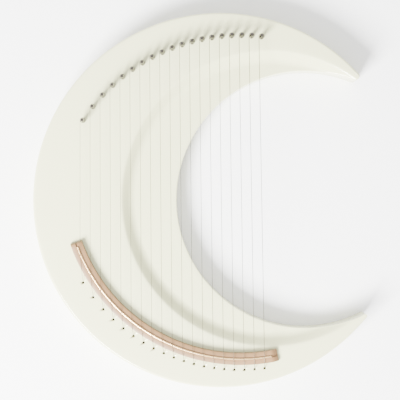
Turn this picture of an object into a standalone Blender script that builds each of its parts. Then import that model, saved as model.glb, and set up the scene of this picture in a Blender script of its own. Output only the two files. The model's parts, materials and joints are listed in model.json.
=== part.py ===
"""Crescent lyre harp: hollow lacquered body, curved wooden bridge, turning pins and wound wire strings.

The harp lies on its back. X runs across it to the open side, Y up along the strings, Z out of the soundboard.
The origin is under the middle of the body, on the surface that it lies on. Lengths are in metres.
"""

import math

import bmesh
import bpy
import numpy as np

# Body, seen from the front: an outer circle, the circle of the open bay and the circle of the carved recess
OUTER_RADIUS = 0.225
BAY_RADIUS = 0.155
BAY_OFFSET = (0.1021, 0.0009)
RECESS_RADIUS = 0.1769
RECESS_OFFSET = (0.0587, 0.0019)
UPPER_TIP_RADIUS = 0.0048
LOWER_TIP_RADIUS = 0.0024
OUTLINE_STEPS = 52
TURNED_STEPS = 76

# Body, through its thickness
BODY_THICKNESS = 0.038
BOARD_THICKNESS = 0.005
BACK_THICKNESS = 0.004
FRONT_EDGE_ROUND = 0.0035
BACK_EDGE_ROUND = 0.002
WALL = 0.008
RECESS_DEPTH = 0.011
RECESS_FLOOR = 0.005
RECESS_WALL = 0.004
COVE_SLOPE = math.radians(45)
COVE_FILLET = 0.012
JOIN_GAP = 0.0003

# Strings and the arcs that they start and end on
STRING_COUNT = 19
PIN_ARC_OFFSET = (0.0235, -0.0285)
PIN_ARC_RADIUS = 0.2246
PIN_FIRST_X = -0.1642
PIN_PITCH = 0.01183
HOLE_ARC_OFFSET = (0.0239, 0.0187)
HOLE_ARC_RADIUS = 0.2222
HOLE_FIRST_X = -0.1646
HOLE_PITCH = 0.012095
SADDLE_ARC_RADIUS = 0.2085
SADDLE_FIRST_X = -0.1674
SADDLE_PITCH = 0.0122
THINNEST_WIRE = 0.00032
THICKEST_WIRE = 0.0006
STRING_HOLE_RADIUS = 0.0015
BALL_RADIUS = 0.0022
BALL_LENGTH = 0.0035
WINDING_TURNS = 2
POINTS_PER_TURN = 8
WINDING_GAP = 0.00045
WINDING_ABOVE_STRING = 0.0012

# Tuning pins and the hardwood block that they are driven into
PIN_RADIUS = 0.0025
PIN_SIDES = 8
PIN_ABOVE_FACE = 0.020
PIN_IN_BODY = 0.022
PIN_HEAD_LENGTH = 0.006
PIN_HEAD_SHARE = 0.72
PIN_TIP_CHAMFER = 0.0006
BLOCK_DEPTH = 0.020
BLOCK_HALF_WIDTH = 0.009
BLOCK_OVERHANG = 0.010

# Bridge and the rod that the strings cross
BRIDGE_HALF_WIDTH = 0.0072
BRIDGE_HEIGHT = 0.007
BRIDGE_BEVEL = 0.001
BRIDGE_START = math.radians(199.3)
BRIDGE_END = math.radians(282.3)
BRIDGE_END_HEIGHT = 0.003
BRIDGE_END_TAPER = 0.006
SADDLE_HALF_WIDTH = 0.001
SADDLE_ABOVE_BRIDGE = 0.002
SADDLE_IN_BRIDGE = 0.0015
SADDLE_START = math.radians(201.1)
SADDLE_END = math.radians(280.1)
STRING_LEAVES_BRIDGE = 0.0066

# Slots in the back, under the string holes, for feeding the strings in
SLOT_HALF_WIDTH = 0.008
SLOT_COUNT = 3
SLOT_START = math.radians(211)
SLOT_END = math.radians(280)
SLOT_WEB = math.radians(4)


def tip_centre(inset, tip_radius, side):
    """The centre of the tip's rounding, which touches the outer circle from inside and the bay from outside."""
    reach_outer = OUTER_RADIUS - inset - tip_radius
    reach_bay = BAY_RADIUS + inset + tip_radius
    apart = math.hypot(*BAY_OFFSET)
    along = (reach_outer ** 2 - reach_bay ** 2 + apart ** 2) / (2 * apart)
    across = side * math.sqrt(reach_outer ** 2 - along ** 2)
    ux = BAY_OFFSET[0] / apart
    uy = BAY_OFFSET[1] / apart
    return along * ux - across * uy, along * uy + across * ux


def arc(centre, radius, start, end, steps):
    """Points along an arc, both ends included."""
    turns = np.linspace(start, end, steps + 1)
    return [(centre[0] + radius * math.cos(t), centre[1] + radius * math.sin(t)) for t in turns]


def crescent(inset):
    """The body's outline drawn in by inset, anticlockwise, about the outer circle's centre."""
    upper_radius = max(UPPER_TIP_RADIUS - inset, JOIN_GAP)
    lower_radius = max(LOWER_TIP_RADIUS - inset, JOIN_GAP)
    upper = tip_centre(inset, upper_radius, 1)
    lower = tip_centre(inset, lower_radius, -1)
    full = 2 * math.pi
    outer_from = math.atan2(upper[1], upper[0])
    outer_to = math.atan2(lower[1], lower[0]) + full
    bay_from = math.atan2(lower[1] - BAY_OFFSET[1], lower[0] - BAY_OFFSET[0]) + full
    bay_to = math.atan2(upper[1] - BAY_OFFSET[1], upper[0] - BAY_OFFSET[0])
    points = arc((0, 0), OUTER_RADIUS - inset, outer_from, outer_to, OUTLINE_STEPS)
    points += arc(lower, lower_radius, outer_to, bay_from + math.pi, 4)[1:-1]
    points += arc(BAY_OFFSET, BAY_RADIUS + inset, bay_from, bay_to, OUTLINE_STEPS)
    points += arc(upper, upper_radius, bay_to - math.pi, outer_from, 4)[1:-1]
    return points


def middle_x():
    """Half way between the outline's left and right ends, from the outer circle's centre."""
    across = [p[0] for p in crescent(0)]
    return (min(across) + max(across)) / 2


SHIFT_X = -middle_x()
FACE = BODY_THICKNESS
BOARD_UNDERSIDE = FACE - BOARD_THICKNESS
SADDLE_TOP = FACE + JOIN_GAP + BRIDGE_HEIGHT + SADDLE_ABOVE_BRIDGE


def finish(name, mesh, colour, roughness, metallic=0.0):
    """Closes a bmesh into a named object with its own material."""
    bmesh.ops.recalc_face_normals(mesh, faces=mesh.faces)
    data = bpy.data.meshes.new(name)
    mesh.to_mesh(data)
    mesh.free()
    made = bpy.data.objects.new(name, data)
    bpy.context.scene.collection.objects.link(made)
    dress(made, colour, roughness, metallic)
    return made


def dress(made, colour, roughness, metallic):
    """Gives an object its own Principled material."""
    material = bpy.data.materials.new(made.name)
    material.use_nodes = True
    shader = material.node_tree.nodes["Principled BSDF"]
    shader.inputs["Base Color"].default_value = (*colour, 1)
    shader.inputs["Roughness"].default_value = roughness
    shader.inputs["Metallic"].default_value = metallic
    made.data.materials.append(material)


def add_loft(mesh, rings):
    """Skins a list of rings of points with quads and closes both ends."""
    rows = [[mesh.verts.new(p) for p in ring] for ring in rings]
    for low, high in zip(rows, rows[1:]):
        for i in range(len(low)):
            j = (i + 1) % len(low)
            mesh.faces.new((low[i], low[j], high[j], high[i]))
    mesh.faces.new(rows[0])
    mesh.faces.new(rows[-1])


def slab(name, levels, colour=(0.9, 0.9, 0.8), roughness=0.3):
    """A crescent built up from (inset, height) levels."""
    mesh = bmesh.new()
    rings = []
    for inset, height in levels:
        rings.append([(x + SHIFT_X, y, height) for x, y in crescent(inset)])
    add_loft(mesh, rings)
    return finish(name, mesh, colour, roughness)


def turned(name, profile, offset, steps):
    """A solid turned about a vertical axis from (radius, height) points."""
    mesh = bmesh.new()
    rings = []
    for radius, height in profile:
        circle = arc((offset[0] + SHIFT_X, offset[1]), radius, 0, 2 * math.pi, steps)[:-1]
        rings.append([(x, y, height) for x, y in circle])
    add_loft(mesh, rings)
    return finish(name, mesh, (0.5, 0.5, 0.5), 0.5)


def arc_strip(name, radius, offset, sections, colour, roughness, metallic=0.0):
    """A strip along an arc: sections are (angle, [(outward, height), ...]) in order."""
    mesh = bmesh.new()
    rings = []
    for turn, section in sections:
        ring = []
        for outward, height in section:
            reach = radius + outward
            ring.append((offset[0] + SHIFT_X + reach * math.cos(turn), offset[1] + reach * math.sin(turn), height))
        rings.append(ring)
    add_loft(mesh, rings)
    return finish(name, mesh, colour, roughness, metallic)


def prisms(name, centres, radius, sides, low, high, colour=(0.5, 0.5, 0.5), roughness=0.5, metallic=0.0):
    """Upright prisms of one size, one at each centre."""
    mesh = bmesh.new()
    for centre in centres:
        ring = arc(centre, radius, 0, 2 * math.pi, sides)[:-1]
        add_loft(mesh, [[(x, y, height) for x, y in ring] for height in (low, high)])
    return finish(name, mesh, colour, roughness, metallic)


def cut(made, cutter):
    """Cuts one object out of another with a live Boolean, and keeps the cutter out of the model."""
    modifier = made.modifiers.new(cutter.name, "BOOLEAN")
    modifier.operation = "DIFFERENCE"
    modifier.solver = "EXACT"
    modifier.object = cutter
    cutter.hide_render = True
    cutter.display_type = "WIRE"


def hole_radius(shaft_radius, sides):
    """The corner radius of a faceted hole whose flats clear a shaft by the joining gap."""
    return (shaft_radius + JOIN_GAP) / math.cos(math.pi / sides)


def on_arc(offset, radius, first_x, pitch, side):
    """One point for each string on the upper (1) or lower (-1) side of an arc."""
    points = []
    for number in range(STRING_COUNT):
        x = first_x + pitch * number
        y = offset[1] + side * math.sqrt(radius ** 2 - (x - offset[0]) ** 2)
        points.append((x + SHIFT_X, y))
    return points


PINS = on_arc(PIN_ARC_OFFSET, PIN_ARC_RADIUS, PIN_FIRST_X, PIN_PITCH, 1)
HOLES = on_arc(HOLE_ARC_OFFSET, HOLE_ARC_RADIUS, HOLE_FIRST_X, HOLE_PITCH, -1)
CROSSINGS = on_arc(HOLE_ARC_OFFSET, SADDLE_ARC_RADIUS, SADDLE_FIRST_X, SADDLE_PITCH, -1)


def recess_cutter(name):
    """The turned cutter that carves the recess: a flat floor, a round fillet and a straight slope to the arris."""
    floor = FACE - RECESS_DEPTH
    fillet_drop = COVE_FILLET * (1 - math.cos(COVE_SLOPE))
    slope_end = RECESS_RADIUS - (RECESS_DEPTH - fillet_drop) / math.tan(COVE_SLOPE)
    fillet_end = slope_end - COVE_FILLET * math.sin(COVE_SLOPE)
    above = 0.004
    profile = [(0.010, floor), (fillet_end, floor)]
    for share in (0.33, 0.67, 1.0):
        turn = COVE_SLOPE * share
        profile.append((fillet_end + COVE_FILLET * math.sin(turn), floor + COVE_FILLET * (1 - math.cos(turn))))
    profile.append((RECESS_RADIUS + above / math.tan(COVE_SLOPE), FACE + above))
    profile.append((0.010, FACE + above))
    return turned(name, profile, RECESS_OFFSET, TURNED_STEPS)


def soundboard():
    """The thin board, rounded over outside, cut back along the recess and bored for pins and strings."""
    levels = [(0, BOARD_UNDERSIDE)]
    for share in (0, 0.5, 1):
        turn = share * math.pi / 2
        inset = FRONT_EDGE_ROUND * (1 - math.cos(turn))
        levels.append((inset, FACE - FRONT_EDGE_ROUND * (1 - math.sin(turn))))
    board = slab("soundboard", levels)
    cut(board, recess_cutter("board_recess_cutter"))
    bores = prisms("board_pin_cutter", PINS, hole_radius(PIN_RADIUS, 8), 8, BOARD_UNDERSIDE - WALL, FACE + WALL)
    cut(board, bores)
    cut(board, prisms("board_string_cutter", HOLES, STRING_HOLE_RADIUS, 8, BOARD_UNDERSIDE - WALL, FACE + WALL))


def body_frame():
    """The carved frame: outer and bay walls, the recess floor and the low wall that carries the board's inner edge."""
    low = BACK_THICKNESS + JOIN_GAP
    high = BOARD_UNDERSIDE - JOIN_GAP
    under_recess = FACE - RECESS_DEPTH - RECESS_FLOOR
    frame = slab("body_frame", [(0, low), (0, high)], roughness=0.35)
    cut(frame, slab("frame_hollow_cutter", [(WALL, low - WALL), (WALL, under_recess)]))
    well = slab("frame_well_cutter", [(WALL, under_recess - RECESS_FLOOR / 2), (WALL, high + WALL)])
    keep_radius = RECESS_RADIUS + RECESS_WALL
    keep = turned("frame_keep_cutter", [(keep_radius, 0), (keep_radius, FACE + WALL * 2)], RECESS_OFFSET, TURNED_STEPS)
    cut(well, keep)
    cut(frame, well)
    cut(frame, recess_cutter("frame_recess_cutter"))


def back_plate():
    """The flat back with its feeding slots under the string holes."""
    levels = [(BACK_EDGE_ROUND, 0), (BACK_EDGE_ROUND * 0.3, BACK_EDGE_ROUND * 0.3), (0, BACK_EDGE_ROUND)]
    back = slab("back_plate", levels + [(0, BACK_THICKNESS)], roughness=0.35)
    span = (SLOT_END - SLOT_START + SLOT_WEB) / SLOT_COUNT
    for number in range(SLOT_COUNT):
        start = SLOT_START + number * span
        section = strip_section(SLOT_HALF_WIDTH, -WALL, BACK_THICKNESS + WALL)
        sections = [(t, section) for t in np.linspace(start, start + span - SLOT_WEB, 7)]
        cutter = arc_strip(f"back_slot_cutter_{number}", HOLE_ARC_RADIUS, HOLE_ARC_OFFSET, sections, (0.5,) * 3, 0.5)
        cut(back, cutter)


def strip_section(half_width, low, high):
    """A plain rectangular section."""
    return [(-half_width, low), (half_width, low), (half_width, high), (-half_width, high)]


def pin_block():
    """The hardwood block under the board, bored for the pins."""
    high = BOARD_UNDERSIDE - JOIN_GAP
    low = high - BLOCK_DEPTH
    ends = []
    for pin in (PINS[-1], PINS[0]):
        ends.append(math.atan2(pin[1] - PIN_ARC_OFFSET[1], pin[0] - SHIFT_X - PIN_ARC_OFFSET[0]))
    overhang = BLOCK_OVERHANG / PIN_ARC_RADIUS
    section = strip_section(BLOCK_HALF_WIDTH, low, high)
    sections = [(t, section) for t in np.linspace(ends[0] - overhang, ends[1] + overhang, 19)]
    block = arc_strip("pin_block", PIN_ARC_RADIUS, PIN_ARC_OFFSET, sections, (0.45, 0.25, 0.12), 0.6)
    cut(block, prisms("block_pin_cutter", PINS, hole_radius(PIN_RADIUS, 8), 8, low - WALL, high + WALL))


def bridge():
    """The curved strip with bevelled edges, sloping ends and a groove for the saddle."""
    low = FACE + JOIN_GAP
    groove = SADDLE_HALF_WIDTH + JOIN_GAP
    taper = BRIDGE_END_TAPER / SADDLE_ARC_RADIUS
    stations = [(BRIDGE_START, BRIDGE_END_HEIGHT)]
    stations += [(t, BRIDGE_HEIGHT) for t in np.linspace(BRIDGE_START + taper / 3, BRIDGE_END - taper, 25)]
    stations.append((BRIDGE_END, BRIDGE_END_HEIGHT))
    sections = []
    for turn, height in stations:
        top = low + height
        half = BRIDGE_HALF_WIDTH
        bevel = BRIDGE_BEVEL
        floor = top - SADDLE_IN_BRIDGE
        section = [(-half, low), (half, low), (half, top - bevel), (half - bevel, top), (groove, top)]
        section += [(groove, floor), (-groove, floor), (-groove, top), (bevel - half, top), (-half, top - bevel)]
        sections.append((turn, section))
    arc_strip("bridge", SADDLE_ARC_RADIUS, HOLE_ARC_OFFSET, sections, (0.55, 0.35, 0.2), 0.5)


def saddle():
    """The thin rod that stands out of the bridge's groove and carries the strings."""
    low = FACE + JOIN_GAP * 2 + BRIDGE_HEIGHT - SADDLE_IN_BRIDGE
    half = SADDLE_HALF_WIDTH
    shoulder = SADDLE_TOP - half / 2
    section = [(-half, low), (half, low), (half, shoulder), (half / 2, SADDLE_TOP), (-half / 2, SADDLE_TOP)]
    section.append((-half, shoulder))
    sections = [(t, section) for t in np.linspace(SADDLE_START, SADDLE_END, 25)]
    arc_strip("saddle", SADDLE_ARC_RADIUS, HOLE_ARC_OFFSET, sections, (0.85, 0.7, 0.45), 0.35)


def tuning_pins():
    """One pin for each string: a round shaft whose top narrows to a square head. Its origin is on its axis."""
    shaft_top = PIN_ABOVE_FACE - PIN_HEAD_LENGTH
    for number, centre in enumerate(PINS, 1):
        mesh = bmesh.new()
        rings = []
        levels = [(-PIN_IN_BODY, 0.8, 0), (PIN_TIP_CHAMFER - PIN_IN_BODY, 1, 0), (shaft_top, 1, 0)]
        levels += [(shaft_top + PIN_HEAD_LENGTH / 3, PIN_HEAD_SHARE, 1), (PIN_ABOVE_FACE, PIN_HEAD_SHARE * 0.9, 1)]
        for height, share, square in levels:
            rings.append([(x, y, height) for x, y in pin_ring(PIN_RADIUS * share, square)])
        add_loft(mesh, rings)
        pin = finish(f"tuning_pin_{number:02d}", mesh, (0.7, 0.7, 0.7), 0.25, 1.0)
        pin.location = (centre[0], centre[1], FACE)


def pin_ring(radius, square):
    """A ring of points: a circle, or a square of that half width with as many points."""
    ring = arc((0, 0), radius, 0, 2 * math.pi, PIN_SIDES)[:-1]
    if square:
        ring = [(x / max(abs(x), abs(y)) * radius, y / max(abs(x), abs(y)) * radius) for x, y in ring]
    return ring


def at_radius(start, end, centre, radius):
    """Where the line from start to end comes within radius of the centre."""
    sx = start[0] - centre[0]
    sy = start[1] - centre[1]
    dx = end[0] - start[0]
    dy = end[1] - start[1]
    a = dx * dx + dy * dy
    b = 2 * (sx * dx + sy * dy)
    c = sx * sx + sy * sy - radius * radius
    share = (-b - math.sqrt(b * b - 4 * a * c)) / (2 * a)
    return start[0] + dx * share, start[1] + dy * share


def string_route(number, wire_radius):
    """From the ball, up through the board, over the bridge and the saddle, and round the pin in rising turns."""
    hole = HOLES[number]
    crossing = CROSSINGS[number]
    pin = PINS[number]
    centre = (HOLE_ARC_OFFSET[0] + SHIFT_X, HOLE_ARC_OFFSET[1])
    edge = at_radius(hole, crossing, centre, SADDLE_ARC_RADIUS + STRING_LEAVES_BRIDGE)
    bridge_top = FACE + JOIN_GAP + BRIDGE_HEIGHT
    on_saddle = SADDLE_TOP + JOIN_GAP + wire_radius
    ball_top = BOARD_UNDERSIDE - JOIN_GAP
    points = [(*hole, ball_top - BALL_LENGTH), (*hole, ball_top), (*hole, BOARD_UNDERSIDE)]
    points.append((*hole, FACE + JOIN_GAP + wire_radius))
    points.append((*edge, bridge_top + 2 * JOIN_GAP + wire_radius))
    points.append((*crossing, on_saddle))
    reach = (PIN_RADIUS + JOIN_GAP + wire_radius) / math.cos(math.pi / POINTS_PER_TURN)
    rise = 2 * wire_radius + WINDING_GAP
    start = on_saddle + WINDING_ABOVE_STRING
    for step in range(WINDING_TURNS * POINTS_PER_TURN + 1):
        turn = math.pi - 2 * math.pi * step / POINTS_PER_TURN
        height = start + rise * step / POINTS_PER_TURN
        points.append((pin[0] + reach * math.cos(turn), pin[1] + reach * math.sin(turn), height))
    return points


def least_gap(points, wire_radius):
    """The least gap between turns of a winding, measured on its points and the middles between them."""
    turns = np.array(points[-(WINDING_TURNS * POINTS_PER_TURN + 1):])
    fine = np.concatenate([turns, (turns[1:] + turns[:-1]) / 2])
    order = np.concatenate([np.arange(len(turns)), np.arange(len(turns) - 1) + 0.5])
    apart = np.linalg.norm(fine[:, None] - fine[None], axis=2)
    far = np.abs(order[:, None] - order[None]) > POINTS_PER_TURN / 2
    return apart[far].min() - 2 * wire_radius


def strings():
    """The steel strings, thin at the short side and thicker at the long side, each with its ball end crimped on."""
    gaps = []
    for number in range(STRING_COUNT):
        share = number / (STRING_COUNT - 1)
        wire_radius = (THINNEST_WIRE + (THICKEST_WIRE - THINNEST_WIRE) * share) / 2
        points = string_route(number, wire_radius)
        name = f"string_{number + 1:02d}"
        curve = bpy.data.curves.new(name, "CURVE")
        curve.dimensions = "3D"
        curve.bevel_depth = wire_radius
        curve.bevel_resolution = 1
        curve.use_fill_caps = True
        line = curve.splines.new("POLY")
        line.points.add(len(points) - 1)
        for slot, point in zip(line.points, points):
            slot.co = (*point, 1)
        for slot in line.points[:2]:
            slot.radius = BALL_RADIUS / wire_radius
        made = bpy.data.objects.new(name, curve)
        bpy.context.scene.collection.objects.link(made)
        dress(made, (0.6, 0.6, 0.6), 0.3, 1.0)
        gaps.append(least_gap(points, wire_radius))
    print(f"least gap between the turns of a winding: {min(gaps) * 1000:.2f} mm")


def main():
    for old in list(bpy.data.objects):
        bpy.data.objects.remove(old, do_unlink=True)
    soundboard()
    body_frame()
    back_plate()
    pin_block()
    bridge()
    saddle()
    tuning_pins()
    strings()


main()
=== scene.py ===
"""The looks of the crescent lyre harp: lacquered body, curved wooden bridge, pins and wound strings.

The harp lies on its back, with X across it to the open side, Y up along the strings and Z out of the face.
Lengths are in metres. Angles are written in degrees and worked with in radians.
"""

import json

import bmesh
import bpy
import numpy as np
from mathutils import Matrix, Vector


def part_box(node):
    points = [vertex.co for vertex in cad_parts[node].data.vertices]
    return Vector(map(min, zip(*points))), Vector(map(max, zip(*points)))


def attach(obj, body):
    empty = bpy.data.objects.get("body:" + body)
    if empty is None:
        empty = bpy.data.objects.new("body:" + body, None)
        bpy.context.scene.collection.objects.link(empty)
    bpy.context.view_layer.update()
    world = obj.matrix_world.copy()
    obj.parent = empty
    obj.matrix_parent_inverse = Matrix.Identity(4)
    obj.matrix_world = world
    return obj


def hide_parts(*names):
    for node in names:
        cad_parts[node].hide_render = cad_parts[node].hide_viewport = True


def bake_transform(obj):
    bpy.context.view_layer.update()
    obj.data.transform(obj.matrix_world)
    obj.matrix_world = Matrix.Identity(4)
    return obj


bl_info = {
    "name": "Crescent Lyre Harp",
    "version": (1, 0, 0),
    "blender": (4, 5, 0),
    "location": "3D View > Sidebar > Harp",
    "description": "Dresses a crescent lyre harp in lacquer, wood and metal",
    "category": "Object",
}

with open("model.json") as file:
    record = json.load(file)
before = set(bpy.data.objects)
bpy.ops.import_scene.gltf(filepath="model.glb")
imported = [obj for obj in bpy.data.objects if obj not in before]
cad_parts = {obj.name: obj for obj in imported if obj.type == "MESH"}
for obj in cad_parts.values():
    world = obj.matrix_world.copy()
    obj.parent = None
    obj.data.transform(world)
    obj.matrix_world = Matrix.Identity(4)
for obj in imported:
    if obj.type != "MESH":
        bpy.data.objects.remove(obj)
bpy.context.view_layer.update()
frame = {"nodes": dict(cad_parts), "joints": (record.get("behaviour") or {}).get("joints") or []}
BOARD_LOW, BOARD_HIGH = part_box("soundboard")
FACE = BOARD_HIGH.z
UNDERSIDE = BOARD_LOW.z
SADDLE_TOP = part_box("saddle")[1].z
PIN_LOW, PIN_HIGH = [corner.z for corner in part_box("tuning_pin_01")]
PIN_AXES = [joint["pos_m"] for joint in frame["joints"]]
PIN_BODIES = [joint["child"] for joint in frame["joints"]]
FULL_TURN = 2 * np.pi

# Body, seen from the front
OUTER_RADIUS = 0.225
OUTER_CENTRE = np.array([BOARD_LOW.x + OUTER_RADIUS, 0.0])
BAY_RADIUS = 0.155
BAY_CENTRE = np.array([0.1021, 0.0009]) + OUTER_CENTRE
RECESS_RADIUS = 0.1769
RECESS_CENTRE = np.array([0.0587, 0.0019]) + OUTER_CENTRE
UPPER_TIP_RADIUS = 0.0048
LOWER_TIP_RADIUS = 0.0024
OUTLINE_STEPS = 420
TIP_STEPS = 9
TIP_COVERED = 0.93

# Body, across a section
EDGE_STEPS = 7
FACE_STEPS = 12
COVE_STEPS = 46
FLOOR_STEPS = 8
COVE_SLOPE = np.radians(45)
COVE_FILLET = 0.012
ARRIS_SOFTNESS = 0.0016
FACE_ENDS_BEFORE_ARRIS = 0.003
COVE_STARTS_BEFORE_ARRIS = 0.0025
COVE_WIDTH = 0.020
BAY_EDGE_ROUND = 0.0012
BACK_ROUND = 0.002
BACK_ROUND_MIDDLE = 0.3

# Near the tips each rounding keeps to a share of the body's width, and the arris stays off both edges by
# a share of the outer rounding
EDGE_SHARE = 0.3
BAY_EDGE_SHARE = 0.1
BACK_SHARE = 0.4
ARRIS_FROM_EDGE = 1.1
ARRIS_FROM_BAY = 0.15

# Sound chamber, the room under the string holes and the slots of the back
WALL = 0.008
BACK_THICKNESS = 0.004
CHAMBER_TOP = 0.022
CHAMBER_STEPS = 120
ROOM_HALF_WIDTH = 0.006
ROOM_LOW = 0.021
ROOM_START = 209
ROOM_END = 281.5
SLOT_COUNT = 3
SLOT_HALF_WIDTH = 0.008
SLOT_START = 211
SLOT_END = 280
SLOT_WEB = 4
SLOT_LOW = -0.01
SLOT_HIGH = 0.006
CUTTER_STEPS = 40

# Strings, and the arcs of their holes and of the saddle, which have one centre
STRING_COUNT = 19
ARC_CENTRE = np.array([0.0239, 0.0187]) + OUTER_CENTRE
HOLE_ARC = 0.2222
HOLE_FIRST_X = -0.1646
HOLE_PITCH = 0.012095
HOLE_RADIUS = 0.0015
HOLE_SIDES = 24
HOLE_BELOW_BOARD = 0.002
HOLE_ABOVE_FACE = 0.005
SADDLE_ARC = 0.2085
SADDLE_FIRST_X = -0.1674
SADDLE_PITCH = 0.0122
THINNEST_WIRE = 0.00032
WIRE_GROWTH = 0.00028
WIRE_SIDES = 8
BALL_RADIUS = 0.0022
BALL_BOTTOM_DEPTH = 0.0038
BALL_TOP_DEPTH = 0.0003
BEND_ABOVE_FACE = 0.0006
BRIDGE_EDGE_OUT = 0.0066
BRIDGE_EDGE_ABOVE_FACE = 0.0079
STRING_ABOVE_SADDLE = 0.0002
WINDING_STEPS = 32
WINDING_GAP = 0.00045
WINDING_ABOVE_STRING = 0.0012

# Bridge and saddle
JOIN_GAP = 0.0003
BRIDGE_HALF_WIDTH = 0.0072
BRIDGE_BEVEL = 0.001
BRIDGE_BEVEL_MIDDLE = 0.3
GROOVE_HALF_WIDTH = 0.0013
GROOVE_DEPTH = 0.0015
BRIDGE_STEPS = 150
BRIDGE_FLAT_START = 200.2
BRIDGE_FLAT_END = 280.6
BRIDGE_LEFT_END = ((199.3, 0.45), (199.6, 0.75), (199.85, 0.95))
BRIDGE_RIGHT_END = ((281.2, 0.85), (281.8, 0.65), (282.3, 0.42))
SADDLE_START = 201.1
SADDLE_END = 280.1
SADDLE_RADIUS = 0.001
SADDLE_SIDES = 12

# Pins: heights from the tip, the face and the top, each with a radius and how square the pin is there
PIN_RADIUS = 0.0025
PIN_SIDES = 32
PIN_TIP = ((0.0, 0.0020, 0), (0.0006, PIN_RADIUS, 0))
PIN_NECK = ((0.0138, PIN_RADIUS, 0), (0.0142, 0.0024, 0.15), (0.0160, 0.00185, 1))
PIN_TOP = ((-0.0005, 0.00165, 1), (0.0, 0.0012, 1))

# Colours of the pieces whose colour isn't a setting, and the angle from which an edge looks sharp
NICKEL = (0.10, 0.09, 0.08)
STEEL = (0.05, 0.042, 0.03)
BLOCK_WOOD = (0.45, 0.25, 0.12)
SHARP_FROM = np.radians(32)

# Stage
FLOOR_REACH = 6
FLOOR_HEIGHT = -0.0005
FLOOR_COLOUR = (0.95, 0.95, 0.95, 1)
SKY_STRENGTH = 2.1
KEY_PLACE = (-1.0, -1.2, 1.35)
KEY_SIZE = 0.9
KEY_POWER = 380
CAMERA_HEIGHT = 1.45
SENSOR_WIDTH = 36
VIEW_WIDTH = 0.4795


class HarpSizes(bpy.types.PropertyGroup):
    recess_depth: bpy.props.FloatProperty(
        name="Recess depth", description="How far the recess lies below the face",
        default=0.011, unit="LENGTH")
    edge_round: bpy.props.FloatProperty(
        name="Edge rounding", description="Radius of the face's outer edge",
        default=0.0035, unit="LENGTH")
    bridge_height: bpy.props.FloatProperty(
        name="Bridge height", description="Height of the bridge above the face",
        default=0.007, unit="LENGTH")
    winding_turns: bpy.props.IntProperty(
        name="Winding turns", description="Turns of each string on its pin", default=2)


class HarpColours(bpy.types.PropertyGroup):
    lacquer: bpy.props.FloatVectorProperty(
        name="Lacquer", description="Colour of the body",
        default=(0.66, 0.67, 0.40), subtype="COLOR")
    bridge_wood: bpy.props.FloatVectorProperty(
        name="Bridge wood", description="Main colour of the bridge",
        default=(0.21, 0.115, 0.045), subtype="COLOR")
    saddle: bpy.props.FloatVectorProperty(
        name="Saddle", description="Colour of the saddle rod",
        default=(0.9, 0.62, 0.32), subtype="COLOR")


class Wire:
    """A shader socket that takes part in arithmetic: each operator adds its Math node."""

    def __init__(self, finish, socket):
        self.finish = finish
        self.socket = socket

    def join(self, kind, other):
        return self.finish.node("ShaderNodeMath", {"operation": kind}, {0: self, 1: other})

    def __add__(self, other):
        return self.join("ADD", other)

    def __mul__(self, other):
        return self.join("MULTIPLY", other)

    __radd__ = __add__
    __rmul__ = __mul__


class Finish:
    """A node material with one method that makes any node."""

    def __init__(self, name):
        self.material = bpy.data.materials.new(name)
        self.material.use_nodes = True
        self.nodes = self.material.node_tree.nodes
        self.links = self.material.node_tree.links
        self.shader = self.nodes["Principled BSDF"]

    def node(self, kind, settings=None, sockets=None, output=0):
        """Makes a node, gives it its settings, then the values or links of its sockets."""
        made = self.nodes.new(kind)
        for key, value in (settings or {}).items():
            setattr(made, key, value)
        for key, value in (sockets or {}).items():
            self.plug(made.inputs[key], value)
        return Wire(self, made.outputs[output])

    def plug(self, socket, value):
        if isinstance(value, Wire):
            self.links.new(value.socket, socket)
        else:
            socket.default_value = value

    def place(self):
        return self.node("ShaderNodeTexCoord", output="Object")

    def noise(self, scale, detail=3.0, place=None):
        sockets = {"Vector": place or self.place(), "Scale": scale, "Detail": detail}
        return self.node("ShaderNodeTexNoise", None, sockets)

    def mix(self, share, first, second):
        """A blend of two colours: sockets 0, 6 and 7 are the factor and the colours, output 2 the colour."""
        return self.node("ShaderNodeMix", {"data_type": "RGBA"}, {0: share, 6: first, 7: second}, output=2)

    def bump(self, height, strength, distance):
        sockets = {"Height": height, "Strength": strength, "Distance": distance}
        return self.node("ShaderNodeBump", None, sockets)

    def set(self, **values):
        """Plugs values or wires into the shader, by its socket names with _ for a space."""
        for key, value in values.items():
            self.plug(self.shader.inputs[key.replace("_", " ")], value)
        return self.material


def shade(colour, factor):
    """A colour made darker or lighter, with full alpha."""
    return (*[min(1.0, c * factor) for c in colour[:3]], 1.0)


def lacquer_finish():
    """Glossy ivory lacquer, a little cloudy, with the faint ripple of a sprayed coat."""
    colour = bpy.context.scene.harp_colours.lacquer
    made = Finish("ivory_lacquer")
    cloud = made.noise(scale=9.0)
    ripple = made.noise(scale=420.0, detail=2.0)
    tint = made.mix(cloud * 0.5, shade(colour, 0.985), shade(colour, 1.01))
    relief = made.bump(ripple, strength=0.04, distance=0.0004)
    gloss = cloud * 0.06 + 0.2
    return made.set(Base_Color=tint, Roughness=gloss, Normal=relief, Coat_Weight=0.3, Coat_Roughness=0.1)


def wood_finish(name, colour):
    """Oiled wood: broad grain drawn out along the piece, with fine dark pores."""
    made = Finish(name)
    stretched = made.node("ShaderNodeMapping", None, {"Vector": made.place(), "Scale": (0.6, 1.0, 2.0)})
    grain = made.noise(scale=60.0, detail=6.0, place=stretched)
    pores = made.noise(scale=900.0, detail=2.0, place=stretched)
    tint = made.mix(grain, shade(colour, 0.78), shade(colour, 1.28))
    tint = made.mix(pores * 0.3, tint, shade(colour, 0.6))
    relief = made.bump(pores, strength=0.2, distance=0.0003)
    return made.set(Base_Color=tint, Roughness=grain * 0.2 + 0.35, Normal=relief)


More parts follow.
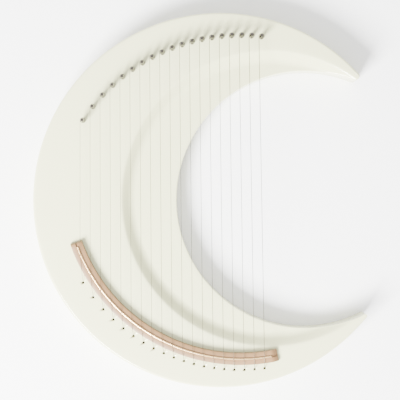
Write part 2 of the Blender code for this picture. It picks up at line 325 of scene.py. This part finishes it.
def metal_finish(name, colour, roughness):
    """Polished metal with fine rubbing marks."""
    made = Finish(name)
    rub = made.noise(scale=700.0, detail=2.0)
    tint = made.mix(rub, shade(colour, 0.9), shade(colour, 1.1))
    return made.set(Base_Color=tint, Roughness=rub * 0.12 + roughness, Metallic=1.0)


def mesh_piece(name, points, faces, material, smooth=True):
    """A new piece from an array of points and a list of faces, with all its faces turned outwards."""
    data = bpy.data.meshes.new(name)
    data.from_pydata(points.tolist(), [], faces)
    outward = bmesh.new()
    outward.from_mesh(data)
    bmesh.ops.recalc_face_normals(outward, faces=outward.faces)
    outward.to_mesh(data)
    outward.free()
    if smooth:
        data.shade_smooth()
        data.set_sharp_from_angle(angle=SHARP_FROM)
    data.materials.append(material)
    made = bpy.data.objects.new(name, data)
    bpy.context.scene.collection.objects.link(made)
    return made


def grid_faces(rows, columns):
    """Faces of a grid whose rows are closed loops: quads between the rows and a cap on each end row."""
    r, c = np.meshgrid(np.arange(rows - 1), np.arange(columns), indexing="ij")
    d = (c + 1) % columns
    quads = np.stack([r * columns + c, r * columns + d, (r + 1) * columns + d, (r + 1) * columns + c], -1)
    first = list(range(columns))[::-1]
    last = list(range((rows - 1) * columns, rows * columns))
    return quads.reshape(-1, 4).tolist() + [first, last]


def on_circle(turn):
    """Points of the unit circle: the cosine and the sine of each angle."""
    return np.stack([np.cos(turn), np.sin(turn)], -1)


def at_height(flat, height):
    """Flat points lifted to one height, or each to its own."""
    return np.concatenate([flat, np.broadcast_to(height, len(flat))[:, None]], 1)


def tube(path, radii, sides):
    """A round tube: point + radius * (across * cos + up * sin), with both directions square to the path.

    across is square to the path and to one fixed leaning line, which no stretch of a string runs along.
    """
    leaning = (0.31, 0.22, 0.05)
    ahead = np.gradient(path, axis=0)
    ahead /= np.linalg.norm(ahead, axis=1)[:, None]
    across = np.cross(ahead, leaning)
    across /= np.linalg.norm(across, axis=1)[:, None]
    up = np.cross(ahead, across)
    turn = np.arange(sides) * FULL_TURN / sides
    ring = across[:, None] * np.cos(turn)[None, :, None] + up[:, None] * np.sin(turn)[None, :, None]
    return (path[:, None] + ring * np.asarray(radii)[:, None, None]).reshape(-1, 3)


def arc_strip(sections, radius):
    """A strip carried along an arc: each point is (angle, outward, height) about the strings' arc centre."""
    angle, outward, height = sections[..., 0], sections[..., 1], sections[..., 2]
    x = ARC_CENTRE[0] + (radius + outward) * np.cos(angle)
    y = ARC_CENTRE[1] + (radius + outward) * np.sin(angle)
    return np.stack([x, y, height], -1).reshape(-1, 3)


def arc_points(first_x, pitch, radius):
    """One point for each string on the lower side of an arc, evenly spaced across."""
    x = first_x + OUTER_CENTRE[0] + pitch * np.arange(STRING_COUNT)
    y = ARC_CENTRE[1] - np.sqrt(radius ** 2 - (x - ARC_CENTRE[0]) ** 2)
    return np.stack([x, y], -1)


HOLES = arc_points(HOLE_FIRST_X, HOLE_PITCH, HOLE_ARC)
CROSSINGS = arc_points(SADDLE_FIRST_X, SADDLE_PITCH, SADDLE_ARC)


def tip_place(radius, side):
    """A tip's rounding touches the outer circle from inside and the bay from outside.

    Gives its angle from the outer circle's centre, its angle from the bay's centre and its own centre, by
    the triangle of the three centres. side is 1 for the upper tip and -1 for the lower.
    """
    reach, bay = OUTER_RADIUS - radius, BAY_RADIUS + radius
    offset = BAY_CENTRE - OUTER_CENTRE
    apart = np.linalg.norm(offset)
    along = (reach ** 2 - bay ** 2 + apart ** 2) / (2 * apart)
    across = side * np.sqrt(reach ** 2 - along ** 2)
    unit = offset / apart
    centre = np.array([along * unit[0] - across * unit[1], along * unit[1] + across * unit[0]])
    from_bay = centre - offset
    return np.arctan2(centre[1], centre[0]), np.arctan2(from_bay[1], from_bay[0]), centre + OUTER_CENTRE


UPPER_TIP = tip_place(UPPER_TIP_RADIUS, 1)
LOWER_TIP = tip_place(LOWER_TIP_RADIUS, -1)


def crescent_lines(inset, steps):
    """Matching points on the outer circle and the bay's circle, from the upper tip round to the lower.

    Both lines are drawn into the body by inset.
    """
    share = np.linspace(0, 1, steps)
    outer = UPPER_TIP[0] + (LOWER_TIP[0] + FULL_TURN - UPPER_TIP[0]) * share
    bay = UPPER_TIP[1] + (LOWER_TIP[1] + FULL_TURN - UPPER_TIP[1]) * share
    edge = OUTER_CENTRE + (OUTER_RADIUS - inset) * on_circle(outer)
    rim = BAY_CENTRE + (BAY_RADIUS + inset) * on_circle(bay)
    return edge, rim


def tip_lines(tip, radius, way):
    """Matching points round both halves of a tip's circle, from the outline nearly to the tip's apex.

    way is the sense in which the tip's outside is turned through: 1 anticlockwise, -1 clockwise.
    """
    outer, bay, centre = tip
    facing_bay = outer + way * ((way * (bay + np.pi - outer)) % FULL_TURN)
    apex = (outer + facing_bay) / 2
    share = np.linspace(0, TIP_COVERED, TIP_STEPS)[1:]
    halves = []
    for start in (outer, facing_bay):
        halves.append(centre + radius * on_circle(start + (apex - start) * share))
    return halves


def body_lines():
    """The crescent's two edges as matching points, with its rounded tips."""
    edge, rim = crescent_lines(0, OUTLINE_STEPS)
    upper_edge, upper_rim = tip_lines(UPPER_TIP, UPPER_TIP_RADIUS, -1)
    lower_edge, lower_rim = tip_lines(LOWER_TIP, LOWER_TIP_RADIUS, 1)
    edge = np.concatenate([upper_edge[::-1], edge, lower_edge])
    rim = np.concatenate([upper_rim[::-1], rim, lower_rim])
    return edge, rim


def recess_drop(inside, depth):
    """How far the surface drops at a distance inside the arris.

    It starts as a soft shoulder, (inside + sqrt(inside^2 + softness^2)) / 2, which becomes the straight
    slope. Then comes the fillet, an arc that meets the slope and the flat floor.
    """
    fillet_drop = COVE_FILLET * (1 - np.cos(COVE_SLOPE))
    slope_end = (depth - fillet_drop) / np.tan(COVE_SLOPE)
    floor_from = slope_end + COVE_FILLET * np.sin(COVE_SLOPE)
    line = (inside + np.sqrt(inside ** 2 + ARRIS_SOFTNESS ** 2)) / 2
    left = np.clip(floor_from - inside, 0, COVE_FILLET)
    curved = depth - (COVE_FILLET - np.sqrt(COVE_FILLET ** 2 - left ** 2))
    drop = np.where(inside < slope_end, line, curved)
    return np.where(inside > floor_from, depth, np.minimum(drop, depth))


def arris_across(edge, unit, width):
    """How far each line across the body runs before it enters the recess circle, or its whole width."""
    from_centre = edge - RECESS_CENTRE
    b = np.sum(from_centre * unit, 1)
    c = np.sum(from_centre ** 2, 1) - RECESS_RADIUS ** 2
    root = b * b - c
    return np.where(root > 0, -b - np.sqrt(np.maximum(root, 0)), width)


def face_stations(start, arris, end):
    """Distances across the face, the cove and the recess floor, close together where the cove bends."""
    stations = []
    for share in np.linspace(0, 1, FACE_STEPS)[1:]:
        stations.append(start + (arris - FACE_ENDS_BEFORE_ARRIS - start) * share)
    for away in np.linspace(-COVE_STARTS_BEFORE_ARRIS, COVE_WIDTH, COVE_STEPS):
        stations.append(arris + away)
    for share in np.linspace(0, 1, FLOOR_STEPS)[1:]:
        stations.append(arris + COVE_WIDTH + (end - arris - COVE_WIDTH) * share)
    return stations


def body_skin(recess_depth, edge_round):
    """The whole outside of the body, as one closed section after another from tip to tip.

    A section is cut by the line from the outer edge to the bay's edge. It runs round the outer edge, over
    the face, down the cove, over the recess floor, round the bay's edge and back along the underside.
    """
    edge, rim = body_lines()
    width = np.linalg.norm(rim - edge, axis=1)
    unit = (rim - edge) / width[:, None]
    soft = np.minimum(edge_round, width * EDGE_SHARE)
    bay_soft = np.minimum(BAY_EDGE_ROUND, width * BAY_EDGE_SHARE)
    end = width - bay_soft
    arris = np.clip(arris_across(edge, unit, width), soft * ARRIS_FROM_EDGE, width - soft * ARRIS_FROM_BAY)
    quarter = np.linspace(0, np.pi / 2, EDGE_STEPS)
    rows = []
    reach = np.zeros(len(edge))
    for turn in quarter:
        reach = np.minimum(np.maximum(soft * (1 - np.cos(turn)), reach), end)
        rows.append(at_height(edge + unit * reach[:, None], FACE - soft * (1 - np.sin(turn))))
    for station in face_stations(soft, arris, end):
        reach = np.minimum(np.maximum(station, reach), end)
        flat = edge + unit * reach[:, None]
        inside = RECESS_RADIUS - np.linalg.norm(flat - RECESS_CENTRE, axis=1)
        rows.append(at_height(flat, FACE - recess_drop(inside, recess_depth)))
    floor = rows[-1][:, 2]
    for turn in quarter[1:]:
        across = width - bay_soft * (1 - np.sin(turn))
        rows.append(at_height(edge + unit * across[:, None], floor - bay_soft * (1 - np.cos(turn))))
    middle = BACK_ROUND * BACK_ROUND_MIDDLE
    under = [(BACK_ROUND, 0.0), (middle, middle), (0.0, BACK_ROUND)]
    for inset, height in reversed(under):
        across = np.maximum(width - inset, width * (1 - BACK_SHARE))
        rows.append(at_height(edge + unit * across[:, None], height))
    for inset, height in under:
        across = np.minimum(inset, width * BACK_SHARE)
        rows.append(at_height(edge + unit * across[:, None], height))
    return np.stack(rows, 1).reshape(-1, 3), grid_faces(len(edge), len(rows))


def chamber_cutter(material):
    """The hollow of the body: the crescent drawn in by the wall, from the back up to under the recess."""
    edge, rim = crescent_lines(WALL, CHAMBER_STEPS)
    corners = ((edge, BACK_THICKNESS), (rim, BACK_THICKNESS), (rim, CHAMBER_TOP), (edge, CHAMBER_TOP))
    sections = np.stack([at_height(flat, height) for flat, height in corners], 1)
    has_width = np.sum((rim - edge) * (edge - OUTER_CENTRE), 1) < 0
    sections = sections[has_width]
    return mesh_piece("chamber", sections.reshape(-1, 3), grid_faces(len(sections), len(corners)), material)


def strip_cutter(name, start, end, half_width, low, high, material):
    """A rectangle carried about the arc of string holes, between two angles in degrees."""
    loop = np.array([(-half_width, low), (half_width, low), (half_width, high), (-half_width, high)])
    turn = np.radians(np.linspace(start, end, CUTTER_STEPS))
    angles = np.broadcast_to(turn[:, None, None], (CUTTER_STEPS, len(loop), 1))
    spread = np.broadcast_to(loop, (CUTTER_STEPS, *loop.shape))
    points = arc_strip(np.concatenate([angles, spread], 2), HOLE_ARC)
    return mesh_piece(name, points, grid_faces(CUTTER_STEPS, len(loop)), material)


def slot_cutters(material):
    """The slots of the back, which lie in a row under the string holes with a web between each two."""
    span = (SLOT_END + SLOT_WEB - SLOT_START) / SLOT_COUNT
    made = []
    for start in np.linspace(SLOT_START, SLOT_END + SLOT_WEB, SLOT_COUNT + 1)[:-1]:
        end = start + span - SLOT_WEB
        made.append(strip_cutter("slot", start, end, SLOT_HALF_WIDTH, SLOT_LOW, SLOT_HIGH, material))
    return made


def hole_cutters(material):
    """Upright cylinders through the face, one for each string."""
    circle = HOLE_RADIUS * on_circle(np.arange(HOLE_SIDES) * FULL_TURN / HOLE_SIDES)
    heights = (UNDERSIDE - HOLE_BELOW_BOARD, FACE + HOLE_ABOVE_FACE)
    made = []
    for hole in HOLES:
        points = np.concatenate([at_height(hole + circle, height) for height in heights])
        made.append(mesh_piece("hole", points, grid_faces(len(heights), HOLE_SIDES), material))
    return made


def carve(made, cutters):
    """Cuts every cutter out of a piece and takes the cutters away."""
    for cutter in cutters:
        modifier = made.modifiers.new(cutter.name, "BOOLEAN")
        modifier.object = cutter
        modifier.solver = "EXACT"
    graph = bpy.context.evaluated_depsgraph_get()
    carved = bpy.data.meshes.new_from_object(made.evaluated_get(graph))
    made.modifiers.clear()
    made.data = carved
    for cutter in cutters:
        bpy.data.objects.remove(cutter)


class HARP_OT_body(bpy.types.Operator):
    """Makes the lacquered body: one smooth skin over the board, frame and back"""
    bl_idname = "harp.body"
    bl_label = "Body"

    def execute(self, context):
        sizes = context.scene.harp_sizes
        lacquer = lacquer_finish()
        points, faces = body_skin(sizes.recess_depth, sizes.edge_round)
        body = mesh_piece("lacquered_body", points, faces, lacquer)
        room = strip_cutter(
            "string_room", ROOM_START, ROOM_END, ROOM_HALF_WIDTH, ROOM_LOW, UNDERSIDE, lacquer)
        carve(body, [chamber_cutter(lacquer), room, *slot_cutters(lacquer), *hole_cutters(lacquer)])
        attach(body, "root")
        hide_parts("soundboard", "body_frame", "back_plate")
        return {"FINISHED"}


def along_arc(angles, outward, height):
    """Every angle paired with every point of a section, ready for arc_strip."""
    shape = (len(angles), outward.shape[-1])
    turn = np.broadcast_to(angles[:, None], shape)
    return np.stack([turn, np.broadcast_to(outward, shape), np.broadcast_to(height, shape)], -1)


def bridge_section():
    """The bridge's section, with bevelled edges and the saddle's groove.

    Each point is (outward, share of the height, drop from there).
    """
    half, bevel = BRIDGE_HALF_WIDTH, BRIDGE_BEVEL
    middle = BRIDGE_BEVEL * BRIDGE_BEVEL_MIDDLE
    groove, sunk = GROOVE_HALF_WIDTH, GROOVE_DEPTH
    shape = [(-half, 0, 0), (half, 0, 0), (half, 1, -bevel), (half - middle, 1, -middle)]
    shape += [(half - bevel, 1, 0), (groove, 1, 0), (groove, 1, -sunk), (-groove, 1, -sunk), (-groove, 1, 0)]
    shape += [(bevel - half, 1, 0), (middle - half, 1, -middle), (-half, 1, -bevel)]
    return np.array(shape)


def make_bridge(tall, colour):
    """The bridge's section carried along the saddle's arc, and lowered over the last few degrees."""
    section = bridge_section()
    flat = [(angle, 1) for angle in np.linspace(BRIDGE_FLAT_START, BRIDGE_FLAT_END, BRIDGE_STEPS)]
    stations = np.array([*BRIDGE_LEFT_END, *flat, *BRIDGE_RIGHT_END])
    heights = tall * stations[:, 1]
    height = FACE + JOIN_GAP + heights[:, None] * section[None, :, 1] + section[None, :, 2]
    points = arc_strip(along_arc(np.radians(stations[:, 0]), section[:, 0], height), SADDLE_ARC)
    faces = grid_faces(len(stations), len(section))
    made = mesh_piece("wooden_bridge", points, faces, wood_finish("bridge_wood", colour))
    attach(made, "root")
    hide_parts("bridge")


def make_saddle(colour):
    """A round rod carried along the saddle's arc, its top level with the CAD saddle's."""
    angles = np.radians(np.linspace(SADDLE_START, SADDLE_END, BRIDGE_STEPS))
    rod = np.linspace(0, FULL_TURN, SADDLE_SIDES + 1)[:-1]
    height = SADDLE_TOP - SADDLE_RADIUS + SADDLE_RADIUS * np.sin(rod)
    points = arc_strip(along_arc(angles, SADDLE_RADIUS * np.cos(rod), height), SADDLE_ARC)
    faces = grid_faces(BRIDGE_STEPS, SADDLE_SIDES)
    made = mesh_piece("saddle_rod", points, faces, metal_finish("saddle_metal", colour, 0.25))
    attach(made, "root")
    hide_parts("saddle")


class HARP_OT_bridge(bpy.types.Operator):
    """Makes the curved wooden bridge and the rod set in it"""
    bl_idname = "harp.bridge"
    bl_label = "Bridge and saddle"

    def execute(self, context):
        colours = context.scene.harp_colours
        make_bridge(context.scene.harp_sizes.bridge_height, colours.bridge_wood)
        make_saddle(colours.saddle)
        return {"FINISHED"}


def pin_rings():
    """A pin about the origin, as rings that go from a circle to a square: circle * (1 - s) + square * s."""
    circle = on_circle(np.arange(PIN_SIDES) * FULL_TURN / PIN_SIDES)
    square = circle / np.abs(circle).max(1)[:, None]
    rings = []
    for base, profile in ((PIN_LOW, PIN_TIP), (FACE, PIN_NECK), (PIN_HIGH, PIN_TOP)):
        for height, radius, share in profile:
            rings.append(at_height((circle * (1 - share) + square * share) * radius, base + height))
    return rings


class HARP_OT_pins(bpy.types.Operator):
    """Makes the tuning pins, round below and square at the head"""
    bl_idname = "harp.pins"
    bl_label = "Tuning pins"

    def execute(self, context):
        nickel = metal_finish("nickel_pin", NICKEL, 0.16)
        rings = pin_rings()
        points = np.concatenate(rings)
        faces = grid_faces(len(rings), PIN_SIDES)
        for number, (axis, body) in enumerate(zip(PIN_AXES, PIN_BODIES), 1):
            made = mesh_piece(f"nickel_pin_{number:02d}", points + (*axis[:2], 0), faces, nickel)
            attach(made, body)
            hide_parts(f"tuning_pin_{number:02d}")
        return {"FINISHED"}


def string_route(hole, crossing, on_saddle, wire):
    """From the ball, up through the board, over the bridge's edge and onto the saddle."""
    share = 1 - BRIDGE_EDGE_OUT / (HOLE_ARC - SADDLE_ARC)
    edge = hole + (crossing - hole) * share
    return np.array([
        (*hole, UNDERSIDE - BALL_BOTTOM_DEPTH),
        (*hole, UNDERSIDE - BALL_TOP_DEPTH),
        (*hole, UNDERSIDE),
        (*hole, FACE + BEND_ABOVE_FACE),
        (*edge, FACE + BRIDGE_EDGE_ABOVE_FACE + wire),
        (*crossing, on_saddle),
    ])


def winding(axis, low, wire, turns):
    """The turns on a pin: a clockwise helix from its left side that rises by a wire and a gap each turn."""
    step = np.arange(turns * WINDING_STEPS + 1)
    angle = np.pi - FULL_TURN * step / WINDING_STEPS
    reach = PIN_RADIUS + JOIN_GAP + wire
    rise = (2 * wire + WINDING_GAP) * step / WINDING_STEPS
    return np.stack([axis[0] + reach * np.cos(angle), axis[1] + reach * np.sin(angle), low + rise], -1)


class HARP_OT_strings(bpy.types.Operator):
    """Makes the wire strings, wound on their pins"""
    bl_idname = "harp.strings"
    bl_label = "Strings"

    def execute(self, context):
        steel = metal_finish("steel_wire", STEEL, 0.25)
        turns = context.scene.harp_sizes.winding_turns
        for number in range(STRING_COUNT):
            wire = (THINNEST_WIRE + WIRE_GROWTH * number / (STRING_COUNT - 1)) / 2
            on_saddle = SADDLE_TOP + STRING_ABOVE_SADDLE + wire
            axis = PIN_AXES[number]
            route = string_route(HOLES[number], CROSSINGS[number], on_saddle, wire)
            coil = winding(axis, on_saddle + WINDING_ABOVE_STRING, wire, turns)
            path = np.concatenate([route, coil])
            radii = np.full(len(path), wire)
            radii[:2] = BALL_RADIUS
            points = tube(path, radii, WIRE_SIDES)
            faces = grid_faces(len(path), WIRE_SIDES)
            made = mesh_piece(f"wire_string_{number + 1:02d}", points, faces, steel)
            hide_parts(f"string_{number + 1:02d}")
            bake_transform(made)
        return {"FINISHED"}


class HARP_OT_block(bpy.types.Operator):
    """Gives the pin block inside the body its raw wood"""
    bl_idname = "harp.block"
    bl_label = "Pin block"

    def execute(self, context):
        block = frame["nodes"]["pin_block"]
        block.data.materials.clear()
        block.data.materials.append(wood_finish("block_wood", BLOCK_WOOD))
        return {"FINISHED"}


def lay_floor():
    """A wide plain floor just under the harp."""
    corners = FLOOR_REACH * np.array([(-1, -1), (1, -1), (1, 1), (-1, 1)])
    white = Finish("pale_floor").set(Base_Color=FLOOR_COLOUR, Roughness=0.9)
    mesh_piece("floor", at_height(corners, FLOOR_HEIGHT), [[0, 1, 2, 3]], white, smooth=False)


def set_sky(scene):
    """An even white light from all round."""
    world = bpy.data.worlds.new("studio")
    world.use_nodes = True
    background = world.node_tree.nodes["Background"]
    background.inputs["Color"].default_value = (1, 1, 1, 1)
    background.inputs["Strength"].default_value = SKY_STRENGTH
    scene.world = world


def key_light(scene):
    """A large soft light from beyond the lower left corner, facing the harp."""
    data = bpy.data.lights.new("key", "AREA")
    data.size = KEY_SIZE
    data.energy = KEY_POWER
    made = bpy.data.objects.new("key", data)
    scene.collection.objects.link(made)
    made.location = KEY_PLACE
    made.rotation_euler = (-made.location).to_track_quat("-Z", "Y").to_euler()


def overhead_camera(scene):
    """A camera straight above, with the lens that gives the view its width at the height of the face."""
    data = bpy.data.cameras.new("camera")
    data.sensor_width = SENSOR_WIDTH
    data.lens = SENSOR_WIDTH * (CAMERA_HEIGHT - FACE) / VIEW_WIDTH
    made = bpy.data.objects.new("camera", data)
    made.location = (0, 0, CAMERA_HEIGHT)
    scene.collection.objects.link(made)
    bpy.context.scene.camera = made


class HARP_OT_stage(bpy.types.Operator):
    """Sets the floor, the lights and the camera straight above"""
    bl_idname = "harp.stage"
    bl_label = "Stage"

    def execute(self, context):
        lay_floor()
        set_sky(context.scene)
        key_light(context.scene)
        overhead_camera(context.scene)
        return {"FINISHED"}


class HARP_PT_panel(bpy.types.Panel):
    """Lists the harp's sizes, colours and pieces"""
    bl_idname = "HARP_PT_panel"
    bl_label = "Lyre Harp"
    bl_space_type = "VIEW_3D"
    bl_region_type = "UI"
    bl_category = "Harp"

    def draw(self, context):
        for name in HarpSizes.__annotations__:
            self.layout.prop(context.scene.harp_sizes, name)
        for name in HarpColours.__annotations__:
            self.layout.prop(context.scene.harp_colours, name)
        for operator in OPERATORS:
            self.layout.operator(operator.bl_idname)


OPERATORS = (HARP_OT_stage, HARP_OT_body, HARP_OT_bridge, HARP_OT_pins, HARP_OT_strings, HARP_OT_block)
CLASSES = (HarpSizes, HarpColours, *OPERATORS, HARP_PT_panel)


def register():
    for item in CLASSES:
        bpy.utils.register_class(item)
    bpy.types.Scene.harp_sizes = bpy.props.PointerProperty(type=HarpSizes)
    bpy.types.Scene.harp_colours = bpy.props.PointerProperty(type=HarpColours)


def unregister():
    del bpy.types.Scene.harp_colours
    del bpy.types.Scene.harp_sizes
    for item in reversed(CLASSES):
        bpy.utils.unregister_class(item)


def main():
    register()
    bpy.ops.harp.stage()
    bpy.ops.harp.body()
    bpy.ops.harp.bridge()
    bpy.ops.harp.pins()
    bpy.ops.harp.strings()
    bpy.ops.harp.block()


if __name__ == "__main__":
    main()
